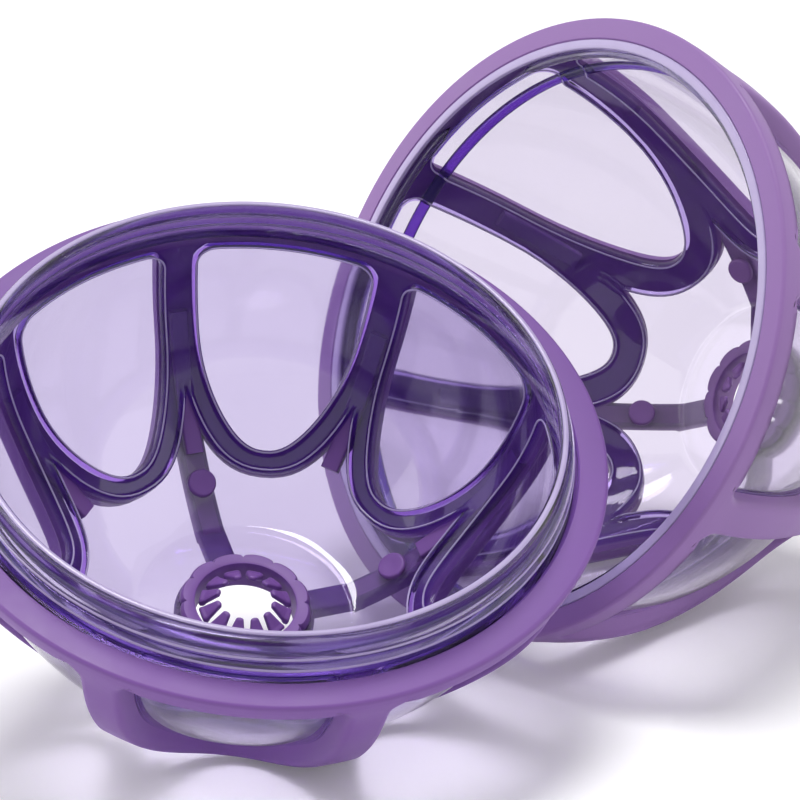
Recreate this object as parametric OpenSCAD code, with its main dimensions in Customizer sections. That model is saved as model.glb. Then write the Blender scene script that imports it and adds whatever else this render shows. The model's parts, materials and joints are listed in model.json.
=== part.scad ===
// Two-half treat ball, shown unscrewed: a shallow bowl with a screw neck and a deeper lid with a collar.
// Each half is a clear shell with a soft cage moulded over it, and an outlet ring of flexible fingers.
// Millimetres, +Z up. The origin is on the floor, under the middle of the whole object.

/* [Mouth] */
// Outer radius of the soft rim band on both halves
rim_r = 57; // [54:0.5:62]
// Height of the soft rim band along the axis of its half
band_h = 4; // [3:0.25:6]
// Width of the bowl's rim band, from its pane out to its rim
bowl_band_w = 5.5; // [5:0.1:6]
// Width of the lid's rim band, from its pane out to its rim
lid_band_w = 4; // [3.5:0.1:4.5]
// Depth of the collar inside the lid, down to the ledge that stops the neck
collar_h = 8.2; // [8.2:0.2:11]
// How far the collar's bore is cut into the wall at the mouth
collar_cut = 0.2; // [0.15:0.05:0.3]
// Width of that ledge along the axis
ledge_w = 1.4; // [1:0.1:2]
// How far the ledge stands in from the collar
ledge_in = 1.8; // [1.4:0.1:2.2]
// Radial gap between the neck's ridges and the collar
thread_gap = 0.5; // [0.3:0.05:0.7]
// Height of the neck above the bowl's rim
neck_h = 7.8; // [7:0.2:8]
// How far the ridges and lugs stand out from the neck and the collar
thread_h = 1.1; // [0.8:0.05:1.3]
// Width of a ridge or lug along the axis
thread_w = 1.4; // [1:0.1:1.6]
// Number of lugs round the collar, and of ridges round the neck
thread_count = 3; // [2:1:4]
// Share of the circle that the lugs cover
thread_share = 0.82; // [0.6:0.01:0.85]
// Distance from the neck's top edge down to its ridges
thread_drop = 3.4; // [2.6:0.1:3.8]
// Play along the axis between the ridges and the lugs when the halves are closed
thread_play = 0.2; // [0.1:0.05:0.4]
// Thickness of the ring that joins the neck to the bowl's pane
neck_ring_t = 2; // [1.5:0.1:2.8]

/* [Shells] */
// Wall of the clear shells
wall = 1.8; // [1.4:0.1:2.2]
// Depth of the bowl from its rim to its end plate
bowl_depth = 45; // [42:0.5:52]
// Depth of the lid from its rim to its end plate
lid_depth = 63.5; // [58:0.5:72]
// Width of the end plate's flat between the outlet ring's lip and the pane
end_flat = 7.4; // [6.8:0.1:8]
// Thickness of the flat end plate of each shell
end_t = 2; // [1.6:0.1:2.4]

/* [Soft cage] */
// Number of ribs and windows round each half
rib_count = 8; // [6:1:9]
// Width of a rib
rib_w = 7.4; // [6:0.2:8]
// How far the bowl's ribs stand out from its panes
bowl_rib_t = 3.8; // [3:0.1:4.2]
// How far the lid's ribs stand out from its panes
lid_rib_t = 3.4; // [3:0.1:3.6]
// Width of the loop round the closed end of a window
loop_w = 5; // [4:0.25:6]
// Radius of a window's corners at the rim
corner_r = 4; // [2:0.25:6]
// Angle down the bowl's side at the centre of a window's round end
bowl_tip_angle = 36; // [33:0.5:38]
// Angle down the lid's side at the centre of a window's round end
lid_tip_angle = 34; // [31:0.5:36]
// Width of the bars from the cage to the outlet ring
bar_w = 5; // [4:0.25:6]
// Number of bars from the cage to the outlet ring
bar_count = 4; // [2:1:4]

/* [Strips inside] */
// Width of a raised strip on the inside of a rib
strip_w = 4; // [3:0.25:5]
// How far a strip stands in from the shell
strip_t = 1.2; // [0.8:0.1:2.4]
// Angle down the bowl's side where its strips start
bowl_strip_start = 20; // [16:1:26]
// Distance between the end of a strip in the bowl and the head of a lock stud
bowl_strip_gap = 1; // [0.6:0.1:6]
// Angle down the lid's side where its strips start
lid_strip_start = 19; // [16:1:24]
// Angle down the lid's side where its strips end
lid_strip_end = 34.5; // [28:0.5:44]
// Radius of the head of a lock stud
stud_r = 2.7; // [2.2:0.1:3]
// Radius of a lock stud's shank, which passes through the shell
shank_r = 1.5; // [1:0.1:1.8]
// Thickness of a lock stud's head
stud_t = 0.9; // [0.6:0.1:1.2]
// Distance between the head of a lock stud in the bowl and the outlet ring's flange, measured out from the axis
bowl_stud_gap = 12.8; // [12.3:0.1:13.3]
// The same distance in the lid
lid_stud_gap = 10.75; // [10.6:0.05:11.7]

/* [Outlet] */
// Inner radius of the outlet ring
outlet_r = 8.8; // [8.5:0.1:9.2]
// Thickness of the outlet ring where it passes through the end plate
grommet_t = 1.4; // [1.2:0.1:1.6]
// How far the outlet ring's flange reaches past its inner lip
flange_over = 0.7; // [0.4:0.1:1.5]
// How far the outlet ring's feet reach past the end plate, under the bars
foot_over = 3; // [2:0.25:4]
// Thickness of the outlet ring's flange, which is the flat end of the half
flange_t = 2.6; // [2:0.1:3.2]
// How far the outlet ring's inner lip reaches over the end plate
lip_over = 1.4; // [1:0.1:2]
// Thickness of the inner lip
lip_t = 1.6; // [1.2:0.1:2]
// Number of soft fingers round an outlet
finger_count = 12; // [10:1:14]
// Length of a finger from its root to its tip
finger_len = 3.8; // [3.4:0.1:4.2]
// Thickness of a finger
finger_t = 1.2; // [1:0.1:1.4]
// Width of a finger at its root
finger_w = 3.2; // [2.8:0.1:3.3]
// Width of a finger at its tip
finger_tip_w = 1.4; // [1:0.1:1.6]
// Radius of the round bead at a finger's root
bead_r = 0.8; // [0.7:0.05:0.9]
// Gap between the beads and the outlet ring
bead_gap = 0.3; // [0.2:0.05:0.4]
// Angle by which the fingers lean towards the inside
finger_lean = 40; // [30:1:50]

/* [Pose] */
// Elevation of the bowl's axis
bowl_elevation = 61.7; // [50:0.1:80]
// Compass angle of the bowl's axis, from +X
bowl_azimuth = -72.5; // [-90:0.1:-60]
// Turn of the bowl's ribs about its axis
bowl_turn = 3.2; // [-22:0.1:22]
// Elevation of the lid's axis
lid_elevation = 25.5; // [15:0.1:35]
// Compass angle of the lid's axis, from +X
lid_azimuth = -141.2; // [-160:0.1:-120]
// Turn of the lid's ribs about its axis
lid_turn = 22.5; // [0:0.1:45]

/* [Hidden] */
$fn = 96;
// Middles of the two mouths, given in rim radii
bowl_at = rim_r * [-0.45789, -0.49474, 0.93246];
lid_at = rim_r * [0.34912, 0.32632, 0.99912];

soft = [0.43, 0.30, 0.60];
clear = [0.85, 0.81, 0.92, 0.4];

sector = 360 / rib_count;
bowl_pane_r = rim_r - bowl_band_w;
lid_pane_r = rim_r - lid_band_w;
collar_r = lid_pane_r - wall;
hole_r = outlet_r + grommet_t;
lip_r = hole_r + lip_over;
end_r = lip_r + end_flat;
flange_r = lip_r + flange_over;
foot_r = end_r + foot_over;
// A half is [pane radius, depth, rib height, tip angle, turn, distance of its studs from the axis]
BOWL = [bowl_pane_r, bowl_depth, bowl_rib_t, bowl_tip_angle, bowl_turn, flange_r + bowl_stud_gap + stud_r];
LID = [lid_pane_r, lid_depth, lid_rib_t, lid_tip_angle, lid_turn, flange_r + lid_stud_gap + stud_r];

// The pane's profile is one arc from the mouth to the end plate, centred at arc_in inside the axis
function arc_in(half) = (end_r * end_r + half[1] * half[1] - half[0] * half[0]) / (2 * (half[0] - end_r));
function arc_r(half) = half[0] + arc_in(half);
// Distance from the axis to the pane at an angle down the side
function radius_at(half, angle) = arc_r(half) * cos(angle) - arc_in(half);
// Angle down the side of a point at a depth below the rim
function angle_at(half, depth) = asin(depth / arc_r(half));
// Angle down the side at the studs
function stud_angle(half) = acos((half[5] + arc_in(half)) / arc_r(half));
// Middle angle of a window, along which its cutter points
function mid_angle(half) = (angle_at(half, band_h) + half[3]) / 2;
// Half width of a window between two ribs, at an angle down the side
function window_half(half, angle) = radius_at(half, angle) * sin(sector / 2) - rib_w / 2;
// Place along the cutter's face of a point at an angle down the side
function along(half, angle) = arc_r(half) * sin(mid_angle(half) - angle);

neck_r = collar_r - thread_gap - thread_h;
bowl_strip_end = stud_angle(BOWL) - (stud_r + bowl_strip_gap) / arc_r(BOWL) * 180 / PI;
finger_root_r = sqrt(pow(outlet_r - bead_gap - bead_r, 2) - pow(finger_w / 2, 2));
// Straight steps along a window's side
side_steps = 6;
// Size that is sure to reach past a half
reach = 2 * rim_r;
// How far the window cutters reach to each side of the pane
cut_in = rim_r / 2;
// Degrees by which the cage's upper part laps past the loops' centres
loop_lap = 1;
// How deep one part of a shell is rooted in another
root = wall / 2;
// Gap that a flat face leaves to the curved face that it seats on
seat = 0.1;
// Bottom of the neck's ridges above the rim
ridge_z = neck_h - thread_drop - thread_w;

module place(at, elevation, azimuth) {
    translate(at) rotate([90 - elevation, 0, azimuth + 90]) children();
}
module on_bowl() {
    place(bowl_at, bowl_elevation, bowl_azimuth) children();
}
module on_lid() {
    place(lid_at, lid_elevation, lid_azimuth) children();
}

// Section of a layer of a half, from low to high above the pane, between two depths
module layer_section(half, low, high, from, to) {
    intersection() {
        difference() {
            translate([-arc_in(half), 0]) circle(arc_r(half) + high);
            translate([-arc_in(half), 0]) circle(arc_r(half) + low);
        }
        translate([0, -to]) square([reach, to - from]);
    }
}
module layer(half, low, high, from, to) {
    rotate_extrude() layer_section(half, low, high, from, to);
}

// Copies round a half's axis, one at each rib or at each window
module at_ribs(half, count) {
    for (i = [0 : count - 1]) rotate(half[4] + i * 360 / count) children();
}
module at_windows(half) {
    for (i = [0 : rib_count - 1]) rotate(half[4] + (i + 0.5) * sector) children();
}
// Moves to the pane at an angle down the side, with +Z out of the surface and +X towards the rim
module on_pane(half, angle) {
    translate([-arc_in(half), 0, 0]) rotate([0, angle, 0])
        translate([arc_r(half), 0, 0]) rotate([0, 90, 0]) mirror([1, 0, 0]) children();
}

// Points along both sides of a window
function side_points(half) = let (first = angle_at(half, band_h), step = (half[3] - first) / side_steps,
    right = [for (i = [0 : side_steps]) let (a = first + i * step) [along(half, a), window_half(half, a)]])
    concat(right, [for (i = [side_steps : -1 : 0]) [right[i][0], -right[i][1]]]);

// Outline of a window, with round corners at the rim and a round end towards the outlet
module window_outline(half) {
    first = angle_at(half, band_h);
    top = along(half, first);
    top_half = window_half(half, first);
    difference() {
        polygon(side_points(half));
        for (s = [-1, 1]) translate([top - corner_r, s * top_half - corner_r])
            square([2 * corner_r, 2 * corner_r]);
    }
    translate([top - corner_r, corner_r - top_half]) square([corner_r, 2 * (top_half - corner_r)]);
    for (s = [-1, 1]) translate([top - corner_r, s * (top_half - corner_r)]) circle(corner_r);
    translate([along(half, half[3]), 0]) circle(window_half(half, half[3]));
}
module through_pane(half) {
    on_pane(half, mid_angle(half)) translate([0, 0, -cut_in]) linear_extrude(2 * cut_in) children();
}
module window_cutters(half) {
    at_windows(half) through_pane(half) window_outline(half);
}
// What the cage covers: everything down to the loops' centres, the loops, and the bars to the outlet
module cage_outline(half) {
    loops_z = arc_r(half) * sin(half[3] + loop_lap);
    translate([0, 0, -loops_z]) cylinder(h = loops_z, r = reach);
    at_windows(half) through_pane(half)
        translate([along(half, half[3]), 0]) circle(window_half(half, half[3]) + loop_w);
    at_ribs(half, bar_count) translate([outlet_r, -bar_w / 2, -reach]) cube([rim_r, bar_w, reach]);
}

// Shell common to both halves: pane, end plate and the holes for the outlet ring and the studs
module shell_body(half) {
    difference() {
        union() {
            layer(half, -wall, 0, 0, half[1]);
            translate([0, 0, -half[1]]) cylinder(h = end_t, r = end_r - wall);
        }
        translate([0, 0, -half[1] - end_t]) cylinder(h = 3 * end_t, r = hole_r);
        at_ribs(half, bar_count) on_pane(half, stud_angle(half))
            translate([0, 0, -2 * wall]) cylinder(h = 4 * wall, r = shank_r);
    }
}
// Raised thread segments between two radii, at a height on the axis
module thread_segments(inner, outer, height) {
    for (i = [0 : thread_count - 1]) rotate(i * 360 / thread_count)
        translate([0, 0, height]) rotate_extrude(angle = thread_share * 360 / thread_count)
            translate([inner, 0]) square([outer - inner, thread_w]);
}

module bowl_shell() {
    color(clear) on_bowl() union() {
        shell_body(BOWL);
        rotate_extrude() translate([neck_r - wall, -neck_ring_t]) square([wall, neck_h + neck_ring_t]);
        rotate_extrude() translate([neck_r - root, -neck_ring_t]) square([bowl_pane_r - neck_r, neck_ring_t]);
        thread_segments(neck_r - root, neck_r + thread_h, ridge_z);
    }
}
module lid_shell() {
    color(clear) on_lid() union() {
        difference() {
            shell_body(LID);
            translate([0, 0, -collar_h]) cylinder(h = 2 * collar_h, r = collar_r + collar_cut);
        }
        rotate_extrude() translate([collar_r - ledge_in, -collar_h - ledge_w]) square([ledge_in + root, ledge_w]);
        thread_segments(collar_r - thread_h, lid_pane_r - root, thread_play - ridge_z);
    }
}

// Flat soft band round a mouth, over the top of the pane
module rim_band(half) {
    rotate_extrude() difference() {
        translate([0, -band_h]) square([rim_r, band_h]);
        translate([-arc_in(half), 0]) circle(arc_r(half));
    }
}
module bowl_rim_band() {
    color(soft) on_bowl() rim_band(BOWL);
}
module lid_rim_band() {
    color(soft) on_lid() rim_band(LID);
}

// Ribs, loops and bars in one soft layer over the panes
module rib_cage(half) {
    difference() {
        intersection() {
            layer(half, 0, half[2], band_h, half[1]);
            cage_outline(half);
        }
        window_cutters(half);
    }
}
module bowl_rib_cage() {
    color(soft) on_bowl() rib_cage(BOWL);
}
module lid_rib_cage() {
    color(soft) on_lid() rib_cage(LID);
}

// Raised strips on the inside of the ribs, between two angles down the side, the last one at their inner edge
module inner_strips(half, first, last) {
    inner_r = arc_r(half) - wall - strip_t;
    intersection() {
        layer(half, -wall - strip_t, -wall, arc_r(half) * sin(first), inner_r * sin(last));
        at_ribs(half, rib_count) translate([0, -strip_w / 2, -half[1]]) cube([rim_r, strip_w, half[1]]);
    }
}
module bowl_inner_strips() {
    color(soft) on_bowl() inner_strips(BOWL, bowl_strip_start, bowl_strip_end);
}
module lid_inner_strips() {
    color(soft) on_lid() inner_strips(LID, lid_strip_start, lid_strip_end);
}

// Studs through the shell that lock the soft bars to it, with round heads inside
module lock_studs(half) {
    at_ribs(half, bar_count) on_pane(half, stud_angle(half)) {
        translate([0, 0, -wall - seat]) cylinder(h = wall, r = shank_r);
        translate([0, 0, -wall - stud_t - seat]) cylinder(h = stud_t, r = stud_r);
    }
}
module bowl_lock_studs() {
    color(soft) on_bowl() lock_studs(BOWL);
}
module lid_lock_studs() {
    color(soft) on_lid() lock_studs(LID);
}

// Soft grommet in the end plate, whose outer flange is the flat end of the half, with a foot under each bar
module outlet_ring(half) {
    rotate_extrude() translate([outlet_r, -half[1]]) {
        translate([0, -flange_t]) square([flange_r - outlet_r, flange_t]);
        square([grommet_t, end_t]);
        translate([0, end_t]) square([lip_r - outlet_r, lip_t]);
    }
    at_ribs(half, bar_count) translate([hole_r, -bar_w / 2, -half[1] - flange_t])
        cube([foot_r - hole_r, bar_w, flange_t]);
}
module bowl_outlet_ring() {
    color(soft) on_bowl() outlet_ring(BOWL);
}
module lid_outlet_ring() {
    color(soft) on_lid() outlet_ring(LID);
}

// One soft finger with a round root bead, leaning towards the inside
module finger(half, index) {
    rotate(half[4] + index * 360 / finger_count) translate([finger_root_r, 0, -half[1] + end_t])
        rotate([0, finger_lean, 0]) {
            rotate([90, 0, 0]) cylinder(h = finger_w, r = bead_r, center = true);
            translate([0, 0, -finger_t / 2]) linear_extrude(finger_t) {
                polygon([[0, finger_w / 2], [0, -finger_w / 2],
                         [finger_tip_w / 2 - finger_len, -finger_tip_w / 2],
                         [finger_tip_w / 2 - finger_len, finger_tip_w / 2]]);
                translate([finger_tip_w / 2 - finger_len, 0]) circle(finger_tip_w / 2);
            }
        }
}
module bowl_finger(index) {
    color(soft) on_bowl() finger(BOWL, index);
}
module lid_finger(index) {
    color(soft) on_lid() finger(LID, index);
}

bowl_shell();
bowl_rim_band();
bowl_rib_cage();
bowl_inner_strips();
bowl_lock_studs();
bowl_outlet_ring();
lid_shell();
lid_rim_band();
lid_rib_cage();
lid_inner_strips();
lid_lock_studs();
lid_outlet_ring();
for (i = [1 : finger_count]) {
    bowl_finger(i);
    lid_finger(i);
}
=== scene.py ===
"""A treat ball taken apart: two clear lavender shells in soft purple rubber, with fingered outlets."""
import json
import math

import bmesh
import bpy
import numpy as np
from mathutils import Matrix, Vector


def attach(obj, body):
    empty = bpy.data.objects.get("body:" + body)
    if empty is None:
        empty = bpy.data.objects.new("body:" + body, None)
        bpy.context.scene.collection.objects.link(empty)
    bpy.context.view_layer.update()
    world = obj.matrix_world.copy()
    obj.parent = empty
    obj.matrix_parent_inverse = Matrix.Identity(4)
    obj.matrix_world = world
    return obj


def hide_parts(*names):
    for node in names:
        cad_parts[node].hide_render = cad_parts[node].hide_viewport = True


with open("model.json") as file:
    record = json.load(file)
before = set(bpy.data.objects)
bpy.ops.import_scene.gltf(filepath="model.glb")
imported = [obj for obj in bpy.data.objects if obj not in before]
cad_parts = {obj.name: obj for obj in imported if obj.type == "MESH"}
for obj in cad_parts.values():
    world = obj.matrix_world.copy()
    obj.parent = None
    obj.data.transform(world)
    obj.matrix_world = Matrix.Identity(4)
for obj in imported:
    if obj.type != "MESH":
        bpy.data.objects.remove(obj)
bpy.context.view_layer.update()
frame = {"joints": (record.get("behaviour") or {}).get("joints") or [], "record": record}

# Bowl shell: one clear lavender moulding of hard plastic, with a screw neck round its mouth.
# Its dome has an even wall, with frames raised inside behind the soft ribs, and ends in a holed plate.
# Sizes are in millimetres from the middle of the mouth, with the dome towards -Z.
MM = 0.001
RIBS = 8
HALF_SECTOR = math.pi / RIBS
RIB_W = 7.4
CORNER_R = 3.0
END_POWER = 2.3
BAND_GAP = 1.6
WALL = 1.8
END_R = 19.0
END_T = 2.0
END_ROUND = 0.4
HOLE_R = 10.2
FRAME_T = 1.2
FRAME_SHARE = 0.5
BEAD_AT = 0.65
BEAD_SHARE = 1.3
FRAME_TINT_RATE = 1.5
TOP_STEPS = 16
CORNER_STEPS = 4
SIDE_STEPS = 24
SHOULDER_STEPS = 7
LOOP_STEPS = 24
CURVE_POINTS = 600
LEVEL_ROWS = 6
PANE_ROWS = 9
OUTSIDE_ROWS = 40
MERGE_GAP = 0.002
SLIVER = 0.001


class Half:
    """One half of the ball: its lie in the frame, and the arc that its dome turns about the axis.
    The lie comes from the mount at its rim and from the roots of its fingers."""

    def __init__(self, name, pane_r, depth, window_top, round_from, window_end, loop_w, rib_t, rim_t,
                 pane_tint, frame_tint):
        self.name = name
        self.depth = depth
        self.rib_t = rib_t
        self.rim_t = rim_t
        self.inset = (END_R ** 2 + depth ** 2 - pane_r ** 2) / (2 * (pane_r - END_R))
        self.arc_r = pane_r + self.inset
        self.window_top = window_top
        self.band_foot = window_top - BAND_GAP
        self.round_from = round_from
        self.window_end = window_end
        self.loop_w = loop_w
        self.pane_tint = pane_tint
        self.frame_tint = frame_tint
        self.inner_end = self.arc_r * math.asin((depth - END_T) / (self.arc_r - WALL))
        self.outer_end = self.arc_r * math.asin(depth / self.arc_r)
        fingers = [j for j in frame["joints"] if j["name"].startswith(name + "_finger")]
        fingers = sorted(fingers, key=lambda joint: int(joint["name"].split("_")[2]))
        roots = np.array([j["pos_m"] for j in fingers])
        rim = next(m for m in frame["record"]["mounts"] if m["name"] == name + "_rim_face")
        z_axis = np.array(rim["axis"])
        x_axis = roots[-1] - roots.mean(0)
        x_axis = x_axis / np.linalg.norm(x_axis)
        self.axes = np.stack([x_axis, np.cross(z_axis, x_axis), z_axis])
        self.middle = roots.mean(0) + z_axis * (depth - END_T) * MM

    def radius(self, down):
        """Distance from the axis to the pane, at a distance down the side."""
        return self.arc_r * np.cos(down / self.arc_r) - self.inset

    def point(self, turn, down, lift):
        """Point at an angle round the axis, a distance down the side, and a lift over the pane."""
        slope = down / self.arc_r
        r = (self.arc_r + lift) * np.cos(slope) - self.inset
        z = -(self.arc_r + lift) * np.sin(slope)
        return np.stack(np.broadcast_arrays(r * np.cos(turn), r * np.sin(turn), z), -1)

    def placed(self, points):
        """The same points in the frame, in metres."""
        return self.middle + (points * MM) @ self.axes


bowl = Half("bowl", pane_r=51.5, depth=45.0, window_top=3.1, round_from=20.0, window_end=43.6, loop_w=4.6,
            rib_t=3.8, rim_t=5.5, pane_tint=0.25, frame_tint=1.0)
lid = Half("lid", pane_r=53.0, depth=63.5, window_top=4.4, round_from=29.0, window_end=58.4, loop_w=6.8,
           rib_t=3.4, rim_t=4.0, pane_tint=0.0, frame_tint=0.82)


def petal_edges(half):
    """Two closed rows of (turn, down) points for one sector, and a mark on those that lie along the loop.
    The inner row is the window: a top with round corners, sides that leave the ribs an even width, and an
    end drawn in by a superellipse. The outer row faces it: the band's foot, the ribs' middles, and a loop
    at an even distance from the end, from one cusp to the other."""

    def side_turn(down):
        return HALF_SECTOR - RIB_W / 2 / half.radius(down)

    def rib_middle(down):
        return np.full_like(down, HALF_SECTOR), down

    swing = np.linspace(0, math.pi / 2, CURVE_POINTS)
    past = np.sin(swing) ** (2 / END_POWER)
    drop = half.round_from + past * (half.window_end - half.round_from)
    turn = side_turn(drop) * np.cos(swing) ** (2 / END_POWER)
    across = turn * half.radius(drop)
    way = np.stack([np.gradient(drop), -np.gradient(across)])
    way = way / np.hypot(*way)
    way[:, -1] = 0, 1
    loop_drop = drop + half.loop_w * way[1]
    loop_turn = (across + half.loop_w * way[0]) / half.radius(loop_drop)
    cusp = np.interp(-HALF_SECTOR, -loop_turn, swing)

    def read(values, angle):
        return np.interp(angle, swing, values)

    corner_top = half.window_top + CORNER_R
    corner_wide = CORNER_R / half.radius(half.window_top)
    corner_turn = side_turn(corner_top) - corner_wide

    def corner(angle):
        return corner_turn + corner_wide * np.cos(angle), corner_top - CORNER_R * np.sin(angle)

    top = np.linspace(0, corner_turn, TOP_STEPS // 2 + 1)[:-1]
    top_row = np.full_like(top, half.window_top)
    upper = np.linspace(math.pi / 2, math.pi / 4, CORNER_STEPS + 1)[:-1]
    lower = np.linspace(math.pi / 4, 0, CORNER_STEPS + 1)[:-1]
    side = np.linspace(corner_top, half.round_from, SIDE_STEPS + 1)[:-1]
    shoulder = np.linspace(0, cusp, SHOULDER_STEPS + 1)[:-1]
    loop = np.linspace(cusp, math.pi / 2, LOOP_STEPS // 2 + 1)
    window_end = read(turn, loop)
    window_end[-1] = 0
    inner = [(top, top_row), corner(upper), corner(lower), (side_turn(side), side),
             (read(turn, shoulder), read(drop, shoulder)), (window_end, read(drop, loop))]

    foot_row = np.full_like(top, half.band_foot)
    corner_foot = np.linspace(corner_turn, HALF_SECTOR, CORNER_STEPS + 1)[:-1]
    corner_side = np.linspace(half.band_foot, corner_top, CORNER_STEPS + 1)[:-1]
    reach = (HALF_SECTOR - read(turn, shoulder)) / (read(loop_turn, shoulder) - read(turn, shoulder))
    loop_outer = np.minimum(read(loop_turn, loop), HALF_SECTOR)
    loop_outer[0] = HALF_SECTOR
    loop_outer[-1] = 0
    outer = [(top, foot_row), (corner_foot, np.full_like(corner_foot, half.band_foot)),
             rib_middle(corner_side), rib_middle(side),
             rib_middle(read(drop, shoulder) + reach * half.loop_w * read(way[1], shoulder)),
             (loop_outer, read(loop_drop, loop))]

    right = [np.concatenate([np.stack(part, -1) for part in row]) for row in (inner, outer)]
    left = [row[-2:0:-1] * [-1, 1] for row in right]
    on_loop = np.zeros(len(right[0]), bool)
    on_loop[-len(loop):] = True
    on_loop = np.concatenate([on_loop, on_loop[-2:0:-1]])
    return np.concatenate([right[0], left[0]]), np.concatenate([right[1], left[1]]), on_loop


def between(half, inner, outer, on_loop, edge, far_edge):
    """Grid of (turn, down, lift) from the window's row to the outer row. edge gives (distance, lift share)
    pairs from the window's side, and far_edge those that a loop ends with. A rib or band goes on level."""
    span = outer - inner
    length = np.hypot(span[:, 0] * half.radius((inner + outer)[:, 1] / 2), span[:, 1])
    near = np.array([d for d, _ in edge])[:, None] / length
    level = np.linspace(edge[-1][0], length - far_edge[0][0], LEVEL_ROWS)[1:-1] / length
    far = 1 - np.array([d for d, _ in far_edge])[:, None] / length
    share = np.concatenate([near, level, far])
    level_lift = edge[-1][1]
    lift = [s for _, s in edge] + [level_lift] * len(level) + [s for _, s in far_edge]
    lift = np.repeat(np.array(lift)[:, None], len(inner), 1)
    lift[-len(far_edge):, ~on_loop] = level_lift
    spot = inner + share[..., None] * span
    return spot[..., 0], spot[..., 1], lift


def grid_faces(rows, cols, closed=False):
    """Four-sided faces between neighbouring rows and columns of points numbered row by row."""
    r = np.arange(rows - 1)[:, None] * cols
    c = np.arange(cols if closed else cols - 1)[None, :]
    n = (c + 1) % cols
    return np.stack([r + c, r + n, r + cols + n, r + cols + c], -1).reshape(-1, 4)


def sheet_of(points, closed=False, tint=0.0):
    """A grid of points, rows by columns, as points, faces and the depth of colour at each point."""
    rows, cols = points.shape[:2]
    depths = np.broadcast_to(tint, (rows, cols)).ravel()
    return points.reshape(-1, 3), grid_faces(rows, cols, closed), depths


def spun(r, z, turns):
    """Grid of points at radii and heights, carried round the axis through the angles given."""
    return np.stack(np.broadcast_arrays(r * np.cos(turns), r * np.sin(turns), z), -1)


def lathe(profile, turns, tint=0.0):
    """Carries a profile of (radius, height) points round the axis, through the angles given."""
    r, z = np.asarray(profile, float).T
    return sheet_of(spun(r[:, None], z[:, None], turns), True, np.asarray(tint)[..., None])


def around(points, count):
    """Copies of local points turned round the axis in equal steps."""
    turns = np.arange(count) * 2 * math.pi / count
    c, s = np.cos(turns)[:, None], np.sin(turns)[:, None]
    x, y, z = points[:, 0], points[:, 1], points[:, 2]
    return np.stack([c * x - s * y, s * x + c * y, np.broadcast_to(z, (count, len(z)))], -1)


def repeat_sectors(half, turn, down, lift, closed, tint=0.0):
    """The grid of one sector, copied to all of them, as points, faces and depths of colour."""
    points, faces, tint = sheet_of(half.point(turn + HALF_SECTOR, down, lift), closed, tint)
    copies = around(points, RIBS).reshape(-1, 3)
    steps = np.arange(RIBS)[:, None, None] * len(points)
    return copies, (faces[None] + steps).reshape(-1, 4), np.tile(tint, RIBS)


def foot_turns(half, outer):
    """Angles at which one sector's outer row runs along the band's foot, in rising order."""
    return np.unique(np.round(outer[outer[:, 1] < half.band_foot + 1e-6, 0], 9))


def ring_turns(half):
    """Angles at which the petals meet the band, round the whole half, so that rings match them."""
    foot = foot_turns(half, petal_edges(half)[1])[:-1]
    return (np.arange(RIBS)[:, None] * 2 * HALF_SECTOR + HALF_SECTOR + foot[None]).ravel()


def make_piece(name, parts, place, material, sharp_degrees=40):
    """Joins parts into one smooth mesh in the frame, merging points that coincide, with the depth of colour
    as an attribute."""
    counts = np.cumsum([0] + [len(part[0]) for part in parts])
    points = place(np.concatenate([part[0] for part in parts]))
    faces = np.concatenate([part[1] + n for part, n in zip(parts, counts)])
    mesh = bpy.data.meshes.new(name)
    mesh.from_pydata(points.tolist(), [], faces.tolist())
    tint = mesh.attributes.new("tint", "FLOAT", "POINT")
    tint.data.foreach_set("value", np.concatenate([part[2] for part in parts]).astype(np.float32))
    shape = bmesh.new()
    shape.from_mesh(mesh)
    bmesh.ops.remove_doubles(shape, verts=shape.verts, dist=MERGE_GAP * MM)
    bmesh.ops.dissolve_degenerate(shape, edges=shape.edges, dist=SLIVER * MM)
    bmesh.ops.recalc_face_normals(shape, faces=shape.faces)
    shape.to_mesh(mesh)
    shape.free()
    mesh.shade_smooth()
    mesh.set_sharp_from_angle(angle=math.radians(sharp_degrees))
    mesh.materials.append(material)
    piece = bpy.data.objects.new(name, mesh)
    bpy.context.scene.collection.objects.link(piece)
    return piece


def frame_rise(down, frame_from):
    """Share of the frames' height at a distance down the side, growing from none to all in a millimetre."""
    return np.clip(down - frame_from + 0.5, 0, 1)


def shell_inside(half, frame_from):
    """The dome's inner face: each window's pane, the raised frame round it with a bead along its edges, and
    the stretch from the loops to the end plate. Frames start at a distance down the side."""
    inner, outer, on_loop = petal_edges(half)
    bead = [(0, 0), (0.08, 0.5), (0.3, 1.1), (BEAD_AT, BEAD_SHARE), (1.0, 1.15), (1.25, 0.75)]
    bead += [(1.45, FRAME_SHARE)]
    turn, down, share = between(half, inner, outer, on_loop, bead, bead[::-1])
    lift = -WALL - FRAME_T * frame_rise(down, frame_from) * share
    frame_tint = np.clip(FRAME_TINT_RATE * share, half.pane_tint, half.frame_tint)
    rows = np.linspace(0, 1, PANE_ROWS)[:, None, None]
    middle = np.array([0, (half.window_top + half.window_end) / 2])
    pane = middle + rows * (inner - middle)
    loop = outer[on_loop]
    loop = loop[np.argsort(-loop[:, 0])]
    foot = foot_turns(half, outer)[::-1]
    end = np.stack([foot, np.full(len(foot), half.inner_end)], -1)
    tail = loop + rows * (end - loop)
    parts = [repeat_sectors(half, turn, down, lift, True, frame_tint)]
    for spot, closed in ((pane, True), (tail, False)):
        level = np.full(spot.shape[:2], -WALL)
        parts.append(repeat_sectors(half, spot[..., 0], spot[..., 1], level, closed, half.pane_tint))
    return parts


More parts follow.
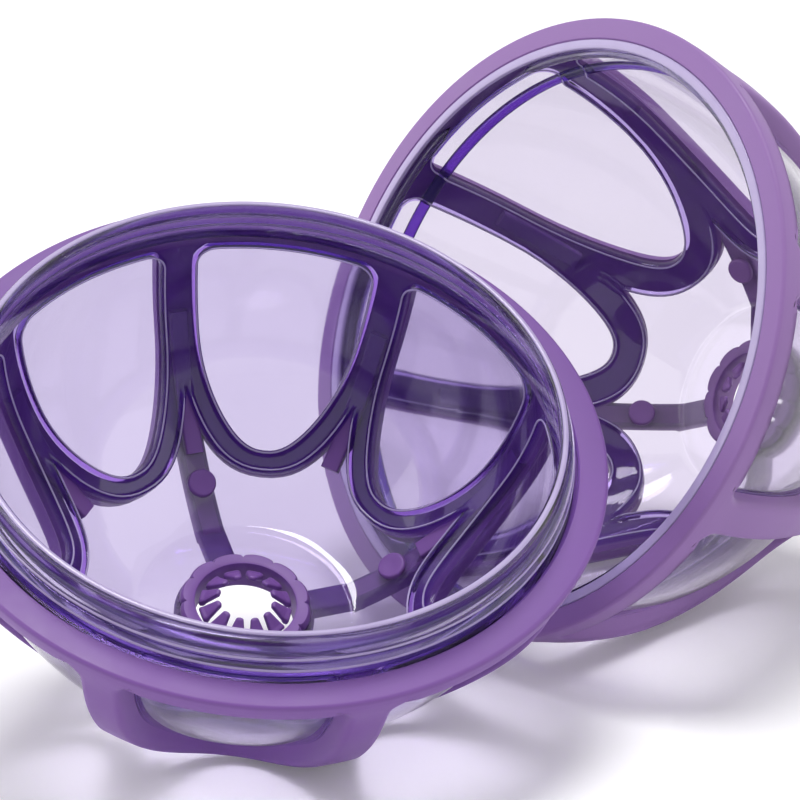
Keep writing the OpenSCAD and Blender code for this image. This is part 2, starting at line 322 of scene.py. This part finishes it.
def shell_outside(half, mouth, mouth_tint, turns):
    """Rings from the frames' top, round the mouth's profile, down the pane and round the plate's hole."""
    down = np.linspace(half.band_foot, half.outer_end, OUTSIDE_ROWS)
    pane = half.point(0.0, down, 0.0)[:, [0, 2]]
    inner = half.point(0.0, np.array([half.inner_end]), -WALL)[0, [0, 2]]
    plate = [(END_R - END_ROUND, -half.depth), (HOLE_R, -half.depth), (HOLE_R, END_T - half.depth),
             (inner[0] - END_ROUND, END_T - half.depth), inner]
    profile = np.concatenate([mouth, pane, plate])
    tint = np.full(len(profile), half.pane_tint)
    tint[:len(mouth)] = mouth_tint
    return lathe(profile, turns, tint)


def moulded_finish():
    """Shader group for a moulded surface: a slow mottle, and a roughness that follows it, low to high."""
    group = bpy.data.node_groups.new("moulded_finish", "ShaderNodeTree")
    for label, value in (("Scale", 60), ("Low", 0.02), ("High", 0.08)):
        socket = group.interface.new_socket(label, in_out="INPUT", socket_type="NodeSocketFloat")
        socket.default_value = value
    for label in ("Mottle", "Roughness"):
        group.interface.new_socket(label, in_out="OUTPUT", socket_type="NodeSocketFloat")
    given = group.nodes.new("NodeGroupInput")
    result = group.nodes.new("NodeGroupOutput")
    where = group.nodes.new("ShaderNodeTexCoord")
    noise = group.nodes.new("ShaderNodeTexNoise")
    noise.inputs["Detail"].default_value = 4
    spread = group.nodes.new("ShaderNodeMapRange")
    spread.inputs["From Min"].default_value = 0.3
    spread.inputs["From Max"].default_value = 0.7
    group.links.new(where.outputs["Object"], noise.inputs["Vector"])
    group.links.new(given.outputs["Scale"], noise.inputs["Scale"])
    group.links.new(noise.outputs["Fac"], spread.inputs["Value"])
    group.links.new(given.outputs["Low"], spread.inputs["To Min"])
    group.links.new(given.outputs["High"], spread.inputs["To Max"])
    group.links.new(noise.outputs["Fac"], result.inputs["Mottle"])
    group.links.new(spread.outputs["Result"], result.inputs["Roughness"])
    return group


finish = moulded_finish()


def use_finish(tree, scale, low, high):
    """Places the moulded finish in a material with its own values."""
    node = tree.nodes.new("ShaderNodeGroup")
    node.node_tree = finish
    node.inputs["Scale"].default_value = scale
    node.inputs["Low"].default_value = low
    node.inputs["High"].default_value = high
    return node


def new_material(name):
    """An empty material with nodes, its node tree and its Principled shader."""
    material = bpy.data.materials.new(name)
    material.use_nodes = True
    return material, material.node_tree, material.node_tree.nodes["Principled BSDF"]


def combine(tree, operation, *values):
    """Output of a Math node, whose inputs are sockets of other nodes or plain numbers."""
    node = tree.nodes.new("ShaderNodeMath")
    node.operation = operation
    for socket, value in zip(node.inputs, values):
        if isinstance(value, bpy.types.NodeSocket):
            tree.links.new(value, socket)
        else:
            socket.default_value = value
    return node.outputs[0]


def blend_tones(tree, factor, first, second):
    """Output of a Mix node that goes from one colour to the other by a socket."""
    mix = tree.nodes.new("ShaderNodeMix")
    mix.data_type = "RGBA"
    mix.inputs["A"].default_value = (*first, 1)
    mix.inputs["B"].default_value = (*second, 1)
    tree.links.new(factor, mix.inputs["Factor"])
    return mix.outputs["Result"]


MOTTLE_TINT = 0.06
THICK_HAZE = 0.15
LIGHT_STOPPED = 0.65


def clear_plastic(name, pale, deep):
    """Clear tinted plastic: full transmission, pale in the panes and deep, with a slight haze, where the
    tint attribute says it is thick; on the neck the attribute also carries a painted highlight and painted
    shade. It stops only a share of the lamps' light, so its shadow is lighter."""
    material, tree, shader = new_material(name)
    skin = use_finish(tree, 60, 0.02, 0.07)
    tint = tree.nodes.new("ShaderNodeAttribute")
    tint.attribute_name = "tint"
    rays = tree.nodes.new("ShaderNodeLightPath")
    solid = tree.nodes.new("ShaderNodeMapRange")
    solid.inputs["To Min"].default_value = 1.0
    solid.inputs["To Max"].default_value = LIGHT_STOPPED
    thick = combine(tree, "MULTIPLY_ADD", skin.outputs["Mottle"], MOTTLE_TINT, tint.outputs["Fac"])
    haze = combine(tree, "MULTIPLY_ADD", tint.outputs["Fac"], THICK_HAZE, skin.outputs["Roughness"])
    lighting = combine(tree, "MAXIMUM", rays.outputs["Is Shadow Ray"], rays.outputs["Is Diffuse Ray"])
    tree.links.new(blend_tones(tree, thick, pale, deep), shader.inputs["Base Color"])
    tree.links.new(haze, shader.inputs["Roughness"])
    tree.links.new(lighting, solid.inputs["Value"])
    tree.links.new(solid.outputs["Result"], shader.inputs["Alpha"])
    shader.inputs["Transmission Weight"].default_value = 1.0
    shader.inputs["IOR"].default_value = 1.22
    shader.inputs["Coat Weight"].default_value = 0.7
    shader.inputs["Coat Roughness"].default_value = 0.03
    return material


lavender = clear_plastic("clear_lavender", (0.69, 0.64, 0.76), (0.14, 0.04, 0.47))

NECK_IN = 47.75
NECK_R = 49.5
NECK_TOP = 7.8
CREST_R = (NECK_R - NECK_IN) / 2
# Pale crest: a painted highlight along the top of the neck.
CREST_HIGHLIGHT_TINT = 0.1
BOWL_FRAMES_FROM = 0.0
bowl_turns = ring_turns(bowl)
frame_top = bowl.point(0.0, bowl.band_foot, -WALL - FRAME_T * FRAME_SHARE)
crest_angles = np.linspace(math.pi, 0, 9)
# Points of (radius, height, depth of colour): up the inside, over the crest, then down over two ridges.
# The colour is painted: pale on the crest and ridge tops as painted highlights, deep in the grooves as
# painted shade.
neck = [(frame_top[0], frame_top[2], 0.7), (48.0, -0.8, 0.4), (NECK_IN, 0.6, 0.25)]
neck += [(NECK_IN + CREST_R + CREST_R * math.cos(a), NECK_TOP - CREST_R + CREST_R * math.sin(a), CREST_HIGHLIGHT_TINT)
         for a in crest_angles]
neck += [(NECK_R, 6.0, 0.8), (49.55, 4.6, 0.9)]
neck += [(49.75, 4.35, 0.5), (50.35, 4.2, 0.25), (50.6, 3.85, 0.25), (50.6, 3.5, 0.3), (50.35, 3.1, 0.6),
         (49.9, 2.9, 0.9), (49.8, 2.6, 0.95)]
neck += [(50.0, 2.3, 0.8), (50.7, 2.1, 0.4), (51.0, 1.75, 0.25), (51.0, 1.3, 0.25), (50.7, 0.9, 0.6),
         (50.4, 0.6, 0.9)]
neck += [(50.35, -0.8, 0.95), (50.6, -1.1, 0.9), (51.2, -1.15, 0.8)]
neck = np.array(neck)
bowl_faces = shell_inside(bowl, BOWL_FRAMES_FROM)
bowl_faces += [shell_outside(bowl, neck[:, :2], neck[:, 2], bowl_turns)]
bowl_shell = make_piece("bowl_clear_shell", bowl_faces, bowl.placed, lavender)
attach(bowl_shell, "bowl")
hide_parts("bowl_shell")

# Lid shell: one moulding of the same clear plastic, deeper than the bowl's.
# A plain collar inside its mouth takes the bowl's neck, and the frames start under it.
COLLAR_R = 51.2
COLLAR_H = 8.6
COLLAR_TINT = 0.55
MOUTH_R = 52.95
MOUTH_DOWN = 0.8
lid_turns = ring_turns(lid)
collar_foot = lid.point(0.0, lid.band_foot, -WALL)
collar = np.array(
    [(collar_foot[0], collar_foot[2]), (COLLAR_R, -MOUTH_DOWN - 0.4), (COLLAR_R + 0.1, -MOUTH_DOWN - 0.1),
     (COLLAR_R + 0.35, -MOUTH_DOWN), (MOUTH_R - 0.35, -MOUTH_DOWN), (MOUTH_R, -MOUTH_DOWN - 0.2)])
lid_faces = shell_inside(lid, COLLAR_H) + [shell_outside(lid, collar, COLLAR_TINT, lid_turns)]
lid_shell = make_piece("lid_clear_shell", lid_faces, lid.placed, lavender)
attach(lid_shell, "lid")
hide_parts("lid_shell")

# Collar lugs: three low ridges of the same plastic inside the lid's collar, which catch the neck's ridges.
# They are moulded with the shell, and each is drawn to a point at both ends.
LUGS = 3
LUG_SHARE = 0.82
LUG_W = 1.6
LUG_T = 1.5
LUG_DOWN = 2.0
LUG_PROUD = 0.3
LUG_TINT = 0.25
LUG_STEPS = 60
SECTION_POINTS = 16


def oval(width, height, count, power=0.5):
    """Closed outline of a rounded box, as points at equal steps of angle on a superellipse."""
    swing = np.arange(count) * 2 * math.pi / count
    c, s = np.cos(swing), np.sin(swing)
    x = width / 2 * np.sign(c) * np.abs(c) ** power
    y = height / 2 * np.sign(s) * np.abs(s) ** power
    return np.stack([x, y], -1)


def ring_segment(profile, first, last, steps, tint):
    """A closed profile of (radius, height) carried round the axis between two angles, with its ends drawn
    to a point."""
    turns = np.linspace(first, last, steps)
    size = np.clip(np.minimum(np.arange(steps), np.arange(steps)[::-1]) / 2, 0, 1)
    middle = profile.mean(0)
    section = middle + size[:, None, None] * (profile - middle)
    return sheet_of(spun(section[..., 0], section[..., 1], turns[:, None]), True, tint)


lug_outline = oval(LUG_W, LUG_T, SECTION_POINTS) + [COLLAR_R - LUG_PROUD, -LUG_DOWN]
lug_span = 2 * math.pi / LUGS
lugs = [ring_segment(lug_outline, i * lug_span, (i + LUG_SHARE) * lug_span, LUG_STEPS, LUG_TINT)
        for i in range(LUGS)]
lid_lugs = make_piece("lid_collar_lugs", lugs, lid.placed, lavender)
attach(lid_lugs, "lid")

# Collar hoop: the ledge that the lid's collar ends in, a thicker ring of the same plastic.
# It is moulded with the shell, and shows as a hoop across the windows.
LEDGE_W = 1.8
LEDGE_T = 2.3
LEDGE_SUNK = 0.1
LEDGE_TINT = 1.0


def hoop_of(width, height, r, z, turns, power=0.8, tint=0.0):
    """A hoop: an oval section at a radius and a height, carried right round the axis."""
    outline = oval(width, height, SECTION_POINTS, power) + [r, z]
    outline = np.concatenate([outline, outline[:1]])
    return lathe(outline, turns, np.full(len(outline), tint))


ledge_r = lid.radius(COLLAR_H) - WALL + LEDGE_SUNK
ledge = hoop_of(LEDGE_W, LEDGE_T, ledge_r, -COLLAR_H, lid_turns, power=0.6, tint=LEDGE_TINT)
hoop = make_piece("lid_collar_hoop", [ledge], lid.placed, lavender)
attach(hoop, "lid")

# Painted highlights: pale lines along the sharpest edges of the clear shells, where gloss and light shining
# through would brighten them.
# They run along the neck's crest and ridges, round the lid's mouth, and along the beads of the frames.
CREST_LINE_W = 0.9
CREST_LINE_SUNK = 0.1
RIDGE_LINE_W = 0.3
NECK_LINE_T = 0.5
RIDGES = [(50.55, 3.68), (50.95, 1.53)]
MOUTH_LINE_R = 52.93
MOUTH_LINE_T = 0.9
BEAD_LINE_W = 0.36
BEAD_LINE_T = 0.3
BEAD_LINE_SUNK = 0.06


def painted_highlight_material(name, dark, light):
    """Painted highlight for the edges of clear plastic: pale, soft in gloss, mottled slowly between two
    tones.
    """
    material, tree, shader = new_material(name)
    skin = use_finish(tree, 140, 0.28, 0.42)
    tree.links.new(blend_tones(tree, skin.outputs["Mottle"], dark, light), shader.inputs["Base Color"])
    tree.links.new(skin.outputs["Roughness"], shader.inputs["Roughness"])
    shader.inputs["Coat Weight"].default_value = 0.3
    return material


def bead_line(half, edge, across, frame_from, closed):
    """A fine oval wire along a row of edge points, set in from it towards the other row to the crest of
    the bead, which carries the painted highlight. An open row is drawn to a point at both ends."""
    span = across - edge
    length = np.hypot(span[:, 0] * half.radius(edge[:, 1]), span[:, 1])
    section = oval(BEAD_LINE_W, BEAD_LINE_T, 9, 0.9)
    section = np.concatenate([section, section[:1]])
    ends = np.minimum(np.arange(len(edge)), np.arange(len(edge))[::-1])
    size = np.ones(len(edge)) if closed else np.clip(ends, 0, 1)
    way = BEAD_AT + section[:, :1] * size
    spot = edge + (way / length)[..., None] * span
    crest = FRAME_T * BEAD_SHARE * frame_rise(spot[..., 1], frame_from)
    lift = -WALL - crest + BEAD_LINE_SUNK + section[:, 1:] * size
    return repeat_sectors(half, spot[..., 0], spot[..., 1], lift, closed)


# The pale tone of these lines is a painted highlight, not the plastic's own colour.
edge_highlight_paint = painted_highlight_material("matt_lavender_edge", (0.36, 0.28, 0.53), (0.50, 0.42, 0.67))

crest_top = NECK_TOP - CREST_LINE_SUNK
neck_lines = [hoop_of(CREST_LINE_W, NECK_LINE_T, NECK_IN + CREST_R, crest_top, bowl_turns)]
neck_lines += [hoop_of(RIDGE_LINE_W, NECK_LINE_T, r, z, bowl_turns) for r, z in RIDGES]
neck_edge = make_piece("bowl_neck_edge", neck_lines, bowl.placed, edge_highlight_paint)
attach(neck_edge, "bowl")

# Painted highlight round the lid's mouth, where the collar's top would be lit through.
mouth_w = MOUTH_LINE_R - COLLAR_R
mouth_middle = (MOUTH_LINE_R + COLLAR_R) / 2
mouth_line = hoop_of(mouth_w, MOUTH_LINE_T, mouth_middle, -MOUTH_LINE_T / 2, lid_turns, power=0.4)
mouth_edge = make_piece("lid_mouth_edge", [mouth_line], lid.placed, edge_highlight_paint)
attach(mouth_edge, "lid")

# Painted highlight lines along the beads of the frames, on both halves.
for half, frame_from in ((bowl, BOWL_FRAMES_FROM), (lid, COLLAR_H)):
    inner, outer, on_loop = petal_edges(half)
    order = np.flatnonzero(on_loop)[np.argsort(-outer[on_loop, 0])]
    lines = [bead_line(half, inner, outer, frame_from, True),
             bead_line(half, outer[order], inner[order], frame_from, False)]
    edges = make_piece(half.name + "_frame_edges", lines, half.placed, edge_highlight_paint)
    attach(edges, half.name)

# Soft cage and band: purple rubber moulded over each shell in one shot, flush with the mouth.
# Ribs run down from the band, loop round each window, and every second one goes on as a bar to the outlet.
SIDE_ROUND = 1.3
SIDE_DRAFT = 0.25
SEAT = 0.1
RIM_ROUND = 0.7
BAND_BLEND = 5.0
BAND_EDGE = 0.25
BAND_LAP = 1.2
BARS = 4
BAR_STEP = 2 * math.pi / BARS
BAR_W = 5.0
BAR_OVERLAP = 3.0
BAR_LOW = 0.3


def rubber(name, dark, light, rough):
    """Satin soft rubber: a slow mottle between two tones, a fine grain in the bump, and an uneven gloss."""
    material, tree, shader = new_material(name)
    skin = use_finish(tree, 90, rough - 0.06, rough + 0.08)
    where = tree.nodes.new("ShaderNodeTexCoord")
    grain = tree.nodes.new("ShaderNodeTexNoise")
    grain.inputs["Scale"].default_value = 2600
    grain.inputs["Detail"].default_value = 3
    bump = tree.nodes.new("ShaderNodeBump")
    bump.inputs["Strength"].default_value = 0.08
    bump.inputs["Distance"].default_value = 0.0002
    tree.links.new(where.outputs["Object"], grain.inputs["Vector"])
    tree.links.new(grain.outputs["Fac"], bump.inputs["Height"])
    tree.links.new(bump.outputs["Normal"], shader.inputs["Normal"])
    tree.links.new(blend_tones(tree, skin.outputs["Mottle"], dark, light), shader.inputs["Base Color"])
    tree.links.new(skin.outputs["Roughness"], shader.inputs["Roughness"])
    shader.inputs["Sheen Weight"].default_value = 0.1
    shader.inputs["Sheen Roughness"].default_value = 0.5
    shader.inputs["Sheen Tint"].default_value = (0.85, 0.72, 0.95, 1)
    return material


# Same rubber on both halves: the lid's painted paler as lamp-lit gloss, the bowl's painted darker as shade.
soft = {"bowl": rubber("soft_purple", (0.16, 0.058, 0.29), (0.20, 0.08, 0.345), 0.5),
        "lid": rubber("soft_purple_pale", (0.235, 0.115, 0.35), (0.29, 0.15, 0.41), 0.5)}


def rubber_height(half, down):
    """Lift of the rubber over the pane: the rib's height, growing smoothly to the band's at the mouth."""
    return half.rib_t + (half.rim_t - half.rib_t) * np.exp(-(down / BAND_BLEND) ** 2)


def cage_parts(half, band_in):
    """The cage's outer face and its seat on the shell, closed by the band's ring."""
    inner, outer, on_loop = petal_edges(half)
    height = half.rib_t
    edge = [(0, -SEAT / height), (0.1, 0.35), (0.2, 1 - SIDE_ROUND / height)]
    edge += [(SIDE_DRAFT + SIDE_ROUND * (1 - math.cos(a)), 1 - SIDE_ROUND / height * (1 - math.sin(a)))
             for a in np.radians(np.linspace(18, 90, 6))]
    turn, down, share = between(half, inner, outer, on_loop, edge, edge[::-1])
    lift = np.where(share < 0, -SEAT, share * rubber_height(half, down))
    seat = inner + np.linspace(0, 1, 6)[:, None, None] * (outer - inner)
    seat_lift = np.full(seat.shape[:2], -SEAT)
    foot = np.array([half.band_foot])
    low = half.point(0.0, foot, np.array([-SEAT]))[0, [0, 2]]
    high = half.point(0.0, foot, rubber_height(half, foot))[0, [0, 2]]
    rim_r = half.radius(0.0) + half.rim_t
    band = [low, (band_in, -BAND_LAP), (band_in, -BAND_EDGE), (band_in + BAND_EDGE, 0)]
    band += [(rim_r - RIM_ROUND + RIM_ROUND * math.cos(a), RIM_ROUND * (math.sin(a) - 1))
             for a in np.radians(np.linspace(90, 0, 7))]
    band += [(high[0] + (rim_r - high[0]) * 0.4, (high[1] - RIM_ROUND) / 2), high]
    return [repeat_sectors(half, turn, down, lift, True),
            repeat_sectors(half, seat[..., 0], seat[..., 1], seat_lift, True),
            lathe(band, ring_turns(half))]


def strap(half, turn, first, last, width, low, high, steps=24, blunt=0.5):
    """A rounded strip down the side at one angle, between two distances and two lifts, with closed ends."""
    down = np.concatenate([[first, first], np.linspace(first, last, steps), [last, last]])
    size = np.concatenate([[0, 0.85], np.ones(steps), [0.85, 0]])
    section = oval(width, high - low, 20, blunt)
    across = section[None, :, 0] * size[:, None]
    lift = (low + high) / 2 + section[None, :, 1] * size[:, None]
    points = half.point(turn + across / half.radius(down)[:, None], down[:, None], lift)
    return sheet_of(points, closed=True)


def cusp_down(half):
    """How far down the side the loops leave the ribs' middles."""
    _, outer, on_loop = petal_edges(half)
    return outer[on_loop][:, 1].min()


for half, band_in in ((bowl, 51.9), (lid, 52.98)):
    bar_from = cusp_down(half) - BAR_OVERLAP
    bar_top = half.rib_t - BAR_LOW
    bars = [strap(half, i * BAR_STEP, bar_from, half.outer_end, BAR_W, -SEAT, bar_top) for i in range(BARS)]
    parts = cage_parts(half, band_in) + bars
    cage = make_piece(half.name + "_soft_cage", parts, half.placed, soft[half.name])
    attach(cage, half.name)
    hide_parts(half.name + "_rim_band", half.name + "_rib_cage")

# Strips: rubber that comes through slots in the shell along each rib, seen under the clear frame.
# They are square-ended, and part of the same shot as the cage.
STRIP_W = 3.4
STRIP_PROUD = 0.4
for half, first_slope, last_slope in ((bowl, 20, 53), (lid, 19, 33)):
    ends = [half.arc_r * math.radians(slope) for slope in (first_slope, last_slope)]
    strips = [strap(half, i * 2 * HALF_SECTOR, *ends, STRIP_W, -WALL - STRIP_PROUD, 0.0, blunt=0.3)
              for i in range(RIBS)]
    piece = make_piece(half.name + "_rib_strips", strips, half.placed, soft[half.name])
    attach(piece, half.name)
    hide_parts(half.name + "_inner_strips")

# Lock studs: rubber rivets that hold the bars to the shell, with flat round heads on the inside.
# They are moulded through holes in the shell, in the same shot as the cage.
STUD_R = 2.7
STUD_T = 0.6
STUD_ROUND = 0.5
STUD_ROOT = 0.4
for half, slope in ((bowl, 60), (lid, 50)):
    head = [(0.0, STUD_ROOT), (STUD_R, STUD_ROOT)]
    head += [(STUD_R - STUD_ROUND * (1 - math.cos(a)), -STUD_T + STUD_ROUND * (1 - math.sin(a)))
             for a in np.radians(np.linspace(0, 90, 6))]
    head += [(1.2, -STUD_T + 0.08), (0.0, -STUD_T + 0.12)]
    r, z = np.array(head).T
    disc = spun(r[:, None], z[:, None], np.linspace(0, 2 * math.pi, 33)[:-1])
    down = half.arc_r * math.radians(slope)
    sideways = disc[..., 1] / half.radius(down)
    stud_down = down - disc[..., 0]
    stud_lift = disc[..., 2] - WALL
    studs = [sheet_of(half.point(i * BAR_STEP + sideways, stud_down, stud_lift), closed=True)
             for i in range(BARS)]
    piece = make_piece(half.name + "_stud_heads", studs, half.placed, soft[half.name])
    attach(piece, half.name)
    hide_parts(half.name + "_lock_studs")

# Outlet rings: rubber grommets in the end plates, with a flat flange outside and a lobed lip inside.
# A foot under each bar joins the grommet to the cage, in the same shot.
OUTLET_R = 8.8
FLANGE_R = 12.3
FLANGE_T = 2.6
LIP_R = 11.6
LIP_T = 1.6
LOBES = 12
LOBE_DEEP = 0.8
LOBE_POWER = 0.35
FOOT_R = 22.0
for half in (bowl, lid):
    out = -half.depth - FLANGE_T
    up = END_T - half.depth
    lip = up + LIP_T
    section = np.array(
        [(OUTLET_R, out + 0.5), (OUTLET_R + 0.15, out + 0.15), (OUTLET_R + 0.5, out), (FLANGE_R - 0.9, out),
         (FLANGE_R - 0.25, out + 0.25), (FLANGE_R, out + 0.9), (FLANGE_R, out + FLANGE_T - 0.3),
         (FLANGE_R - 0.4, out + FLANGE_T), (HOLE_R, out + FLANGE_T), (HOLE_R, up), (LIP_R - 0.1, up),
         (LIP_R, up + 0.5), (LIP_R - 0.2, lip - 0.4), (LIP_R - 0.6, lip), (OUTLET_R + 0.5, lip),
         (OUTLET_R + 0.12, lip - 0.15), (OUTLET_R, lip - 0.5), (OUTLET_R, out + 0.5)])
    turns = np.linspace(0, 2 * math.pi, LOBES * 18 + 1)[:-1]
    wave = LOBE_DEEP - LOBE_DEEP * np.abs(np.cos(LOBES / 2 * turns)) ** LOBE_POWER
    lobed = (section[:, 0] > HOLE_R + 0.1) & (section[:, 1] > up - 0.1)
    parts = [sheet_of(spun(section[:, :1] - lobed[:, None] * wave, section[:, 1:], turns), closed=True)]
    reach = np.concatenate([[HOLE_R, HOLE_R], np.linspace(HOLE_R, FOOT_R, 8), [FOOT_R, FOOT_R]])[:, None]
    size = np.concatenate([[0, 0.9], np.ones(8), [0.9, 0]])
    outline = oval(BAR_W, FLANGE_T, 24, 0.3) * size[:, None, None]
    for i in range(BARS):
        c, s = math.cos(i * BAR_STEP), math.sin(i * BAR_STEP)
        x = c * reach - s * outline[..., 0]
        y = s * reach + c * outline[..., 0]
        parts.append(sheet_of(np.stack([x, y, outline[..., 1] + out + FLANGE_T / 2], -1), closed=True))
    ring = make_piece(half.name + "_outlet_grommet", parts, half.placed, soft[half.name])
    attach(ring, half.name)
    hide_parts(half.name + "_outlet_ring")

# Fingers: tapered leaves of the same rubber that half close each outlet and give way to a push.
# Each is hinged at a bead in the grommet and leans inwards.
FINGERS = 12
FINGER_LEN = 3.8
FINGER_W = 3.2
FINGER_TIP_W = 1.4
FINGER_T = 1.2
FINGER_TIP_T = 1.0
ROOT_BEAD_R = 0.8
FINGER_LEAN = math.radians(40)
joints = {j["name"]: j for j in frame["joints"]}
# Along the finger, from its root at 0 to its tip at 1, its width and thickness follow straight stretches.
along = np.concatenate([[-0.1, -0.09, 0], np.linspace(0.04, 0.9, 14), [0.95, 0.98, 1.0]])
tip = np.interp(along, [0.9, 0.95, 0.98, 1], [1, 0.85, 0.55, 0])
root_end = np.where(along <= -0.1, 0.0, 1.0)
width = np.interp(along, [0, 0.9], [FINGER_W, FINGER_TIP_W]) * tip * root_end
thick = np.interp(along, [-0.1, -0.09, 0, 0.1, 0.16, 0.9, 1],
                  [0.5, 0.9, 2 * ROOT_BEAD_R, 2 * ROOT_BEAD_R, FINGER_T, FINGER_TIP_T, 0.4]) * root_end
leaf = oval(1, 1, 20, 0.6)
sideways = (leaf[None, :, 0] * width[:, None])[..., None]
upwards = (leaf[None, :, 1] * thick[:, None])[..., None]
lengthways = along[:, None, None] * FINGER_LEN
for half in (bowl, lid):
    for i in range(1, FINGERS + 1):
        joint = joints[f"{half.name}_finger_{i}_bend"]
        root = np.array(joint["pos_m"])
        side = np.array(joint["axis"])
        inward = np.cross(side, half.axes[2])
        inward = inward if inward @ (half.middle - root) > 0 else -inward
        length_way = math.cos(FINGER_LEAN) * inward + math.sin(FINGER_LEAN) * half.axes[2]
        local = lengthways * length_way + sideways * side + upwards * np.cross(length_way, side)
        finger = make_piece(f"{half.name}_soft_finger_{i}", [sheet_of(local, closed=True)],
                            lambda points, root=root: root + points * MM, soft[half.name])
        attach(finger, f"{half.name}_finger_{i}")
        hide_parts(f"{half.name}_finger_{i}")

# Floor: a white sheet of paper on which both halves lie. It keeps their shadow.
# A little glow, seen only by the camera and through the plastic, brings it nearer to white.
FLOOR_SIDE = 6.0
FLOOR_GLOW = 0.1
corners = [(-FLOOR_SIDE, -FLOOR_SIDE, 0), (FLOOR_SIDE, -FLOOR_SIDE, 0), (FLOOR_SIDE, FLOOR_SIDE, 0),
           (-FLOOR_SIDE, FLOOR_SIDE, 0)]
floor_mesh = bpy.data.meshes.new("floor")
floor_mesh.from_pydata(corners, [], [(0, 1, 2, 3)])
floor = bpy.data.objects.new("floor", floor_mesh)
bpy.context.scene.collection.objects.link(floor)
paper, tree, shader = new_material("white_paper")
shader.inputs["Base Color"].default_value = (0.95, 0.95, 0.95, 1)
shader.inputs["Roughness"].default_value = 0.9
shader.inputs["Specular IOR Level"].default_value = 0.1
shader.inputs["Emission Color"].default_value = (1, 1, 1, 1)
rays = tree.nodes.new("ShaderNodeLightPath")
seen = combine(tree, "MAXIMUM", rays.outputs["Is Camera Ray"], rays.outputs["Is Transmission Ray"])
tree.links.new(combine(tree, "MULTIPLY", seen, FLOOR_GLOW), shader.inputs["Emission Strength"])
floor_mesh.materials.append(paper)

# Light: a white surround, dimmer as a light than as it is seen, and a wide soft lamp overhead.
# A softbox stands on each side, the left one stronger.
SURROUND_LIGHT = 0.3
OVERHEAD_POWER = 2.0
OVERHEAD_ANGLE = math.radians(22)
OVERHEAD_TILT = (math.radians(-2), math.radians(-1), 0)
SOFTBOX_W = 1.3
SOFTBOX_H = 1.0
SOFTBOX_AIM = Vector((0.03, 0.0, 0.06))
SOFTBOXES = [("left_softbox", (-1.05, 0.08, 0.45), 7), ("right_softbox", (0.9, -0.25, 0.6), 3)]
world = bpy.data.worlds.new("white_surround")
bpy.context.scene.world = world
world.use_nodes = True
tree = world.node_tree
back = tree.nodes["Background"]
back.inputs["Color"].default_value = (1, 1, 1, 1)
rays = tree.nodes.new("ShaderNodeLightPath")
level = tree.nodes.new("ShaderNodeMapRange")
level.inputs["To Min"].default_value = SURROUND_LIGHT
level.inputs["To Max"].default_value = 1.0
seen = combine(tree, "MAXIMUM", rays.outputs["Is Camera Ray"], rays.outputs["Is Transmission Ray"])
seen = combine(tree, "MAXIMUM", seen, rays.outputs["Is Glossy Ray"])
tree.links.new(seen, level.inputs["Value"])
tree.links.new(level.outputs["Result"], back.inputs["Strength"])

overhead_data = bpy.data.lights.new("overhead_diffuser", "SUN")
overhead_data.energy = OVERHEAD_POWER
overhead_data.angle = OVERHEAD_ANGLE
overhead = bpy.data.objects.new("overhead_diffuser", overhead_data)
overhead.rotation_euler = OVERHEAD_TILT
bpy.context.scene.collection.objects.link(overhead)

for name, spot, power in SOFTBOXES:
    softbox_data = bpy.data.lights.new(name, "AREA")
    softbox_data.shape = "RECTANGLE"
    softbox_data.size = SOFTBOX_W
    softbox_data.size_y = SOFTBOX_H
    softbox_data.energy = power
    softbox = bpy.data.objects.new(name, softbox_data)
    softbox.location = spot
    softbox.rotation_euler = (SOFTBOX_AIM - softbox.location).to_track_quat("-Z", "Y").to_euler()
    bpy.context.scene.collection.objects.link(softbox)

# Camera: a long lens in front, a little above and rolled slightly, as the photograph was taken.
# Its place and aim were fitted to the outlines of both rims.
EYE = np.array([0.95, -494.6, 211.1]) * MM
LOOK_AZIMUTH = math.radians(90.595)
LOOK_PITCH = math.radians(18.084)
LOOK_ROLL = math.radians(-1.818)
LENS = 135
SENSOR_W = 36
look = np.array([math.cos(LOOK_PITCH) * math.cos(LOOK_AZIMUTH),
                 math.cos(LOOK_PITCH) * math.sin(LOOK_AZIMUTH), -math.sin(LOOK_PITCH)])
level_right = np.cross(look, [0, 0, 1])
level_right = level_right / np.linalg.norm(level_right)
right = math.cos(LOOK_ROLL) * level_right + math.sin(LOOK_ROLL) * np.cross(level_right, look)
camera_data = bpy.data.cameras.new("camera")
camera_data.lens = LENS
camera_data.sensor_width = SENSOR_W
camera = bpy.data.objects.new("camera", camera_data)
matrix = np.eye(4)
matrix[:3, :] = np.stack([right, np.cross(right, look), -look, EYE], -1)
camera.matrix_world = Matrix(matrix.tolist())
bpy.context.scene.collection.objects.link(camera)
bpy.context.scene.camera = camera
bpy.context.scene.view_settings.view_transform = "Standard"
